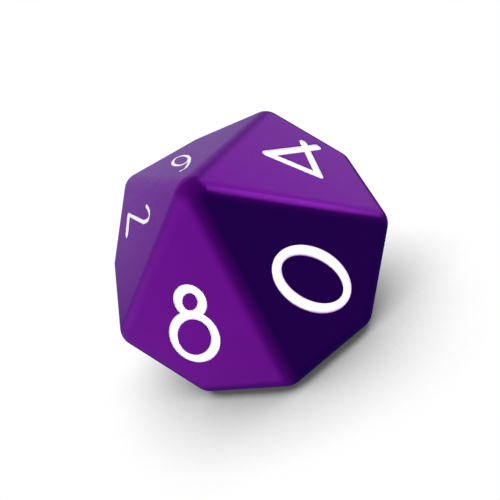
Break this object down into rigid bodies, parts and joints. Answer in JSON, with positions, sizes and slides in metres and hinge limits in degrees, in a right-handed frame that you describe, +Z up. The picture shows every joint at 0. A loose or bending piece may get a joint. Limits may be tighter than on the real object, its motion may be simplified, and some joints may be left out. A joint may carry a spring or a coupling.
{
  "type": "ten-sided die",
  "caption": "Ten-sided die: moulded pentagonal trapezohedron with rounded edges and an engraved, paint-filled numeral on each kite-shaped face.",
  "frame": {"origin": "point of the resting face straight below the centre of the die", "axes": "+Z up, away from the resting face; -Y towards the corner where the resting face meets the pair of faces with the 8 and the 0; +X to the right seen from -Y"},
  "size_m": [0.0218, 0.018, 0.016],
  "materials": {
    "body_plastic": "opaque purple moulded plastic with a soft satin gloss, tumbled edges",
    "numeral_paint": "white numeral paint, satin, wiped into the engraving"
  },
  "bodies": {
    "root": {"die_body": "body_plastic", "numeral_0": "numeral_paint", "numeral_1": "numeral_paint", "numeral_2": "numeral_paint", "numeral_3": "numeral_paint", "numeral_4": "numeral_paint", "numeral_5": "numeral_paint", "numeral_6": "numeral_paint", "numeral_7": "numeral_paint", "numeral_8": "numeral_paint", "numeral_9": "numeral_paint"}
  },
  "joints": []
}
